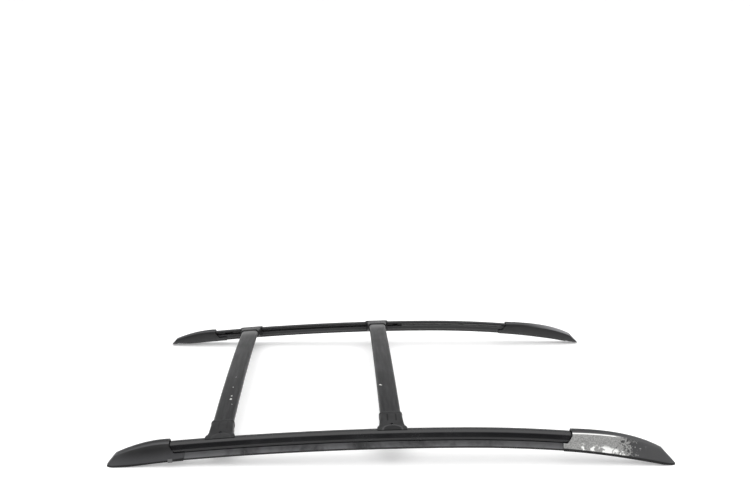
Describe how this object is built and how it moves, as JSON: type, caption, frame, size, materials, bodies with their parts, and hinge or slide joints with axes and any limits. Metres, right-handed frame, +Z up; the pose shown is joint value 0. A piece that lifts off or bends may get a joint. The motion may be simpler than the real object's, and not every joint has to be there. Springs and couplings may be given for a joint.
{
  "type": "roof side rail pair",
  "caption": "Arched roof side rails with moulded end caps, joined by flat clamp-on crossbars whose feet grip the rails' inner channels.",
  "frame": {"origin": "on the ground midway between the four cap tips", "axes": "+X forward along the rails, +Y to the vehicle's left, +Z up"},
  "size_m": [1.72, 1.0102, 0.134],
  "materials": {
    "rail_finish": "satin black powder coat on extruded aluminium",
    "bar_finish": "satin dark grey powder coat on extruded aluminium",
    "cap_plastic": "moulded black plastic with a satin grain",
    "foot_plastic": "moulded dark grey plastic with a satin grain",
    "clip_plastic": "moulded grey plastic",
    "seal_rubber": "matt black rubber",
    "bracket_metal": "die-cast, as cast",
    "plated_steel": "zinc plated"
  },
  "bodies": {
    "rails": {"right_rail": "rail_finish", "right_front_cap": "cap_plastic", "right_rear_cap": "cap_plastic", "right_front_bracket": "bracket_metal", "right_rear_bracket": "bracket_metal", "right_front_gasket": "seal_rubber", "right_rear_gasket": "seal_rubber", "right_bracket_screws": "plated_steel", "right_base_seal": "seal_rubber", "right_nut_plates": "plated_steel", "right_edge_clip": "clip_plastic", "left_rail": "rail_finish", "left_front_cap": "cap_plastic", "left_rear_cap": "cap_plastic", "left_front_bracket": "bracket_metal", "left_rear_bracket": "bracket_metal", "left_front_gasket": "seal_rubber", "left_rear_gasket": "seal_rubber", "left_bracket_screws": "plated_steel", "left_base_seal": "seal_rubber", "left_nut_plates": "plated_steel", "left_edge_clip": "clip_plastic"},
    "front_crossbar": {"front_bar": "bar_finish", "front_bar_screws": "plated_steel", "front_right_foot": "foot_plastic", "front_right_pad": "seal_rubber", "front_right_jaw": "bracket_metal", "front_right_screw": "plated_steel", "front_left_foot": "foot_plastic", "front_left_pad": "seal_rubber", "front_left_jaw": "bracket_metal", "front_left_screw": "plated_steel"},
    "rear_crossbar": {"rear_bar": "bar_finish", "rear_bar_screws": "plated_steel", "rear_right_foot": "foot_plastic", "rear_right_pad": "seal_rubber", "rear_right_jaw": "bracket_metal", "rear_right_screw": "plated_steel", "rear_left_foot": "foot_plastic", "rear_left_pad": "seal_rubber", "rear_left_jaw": "bracket_metal", "rear_left_screw": "plated_steel"}
  },
  "joints": [
    {"name": "front_crossbar_position", "type": "hinge", "parent": "rails", "child": "front_crossbar", "pos_m": [0.23, 0, -9.4387], "axis": [0, 1, 0], "range_deg": [-0.95, 1]},
    {"name": "rear_crossbar_position", "type": "hinge", "parent": "rails", "child": "rear_crossbar", "pos_m": [0.23, 0, -9.4387], "axis": [0, 1, 0], "range_deg": [-0.35, 1.2]}
  ]
}
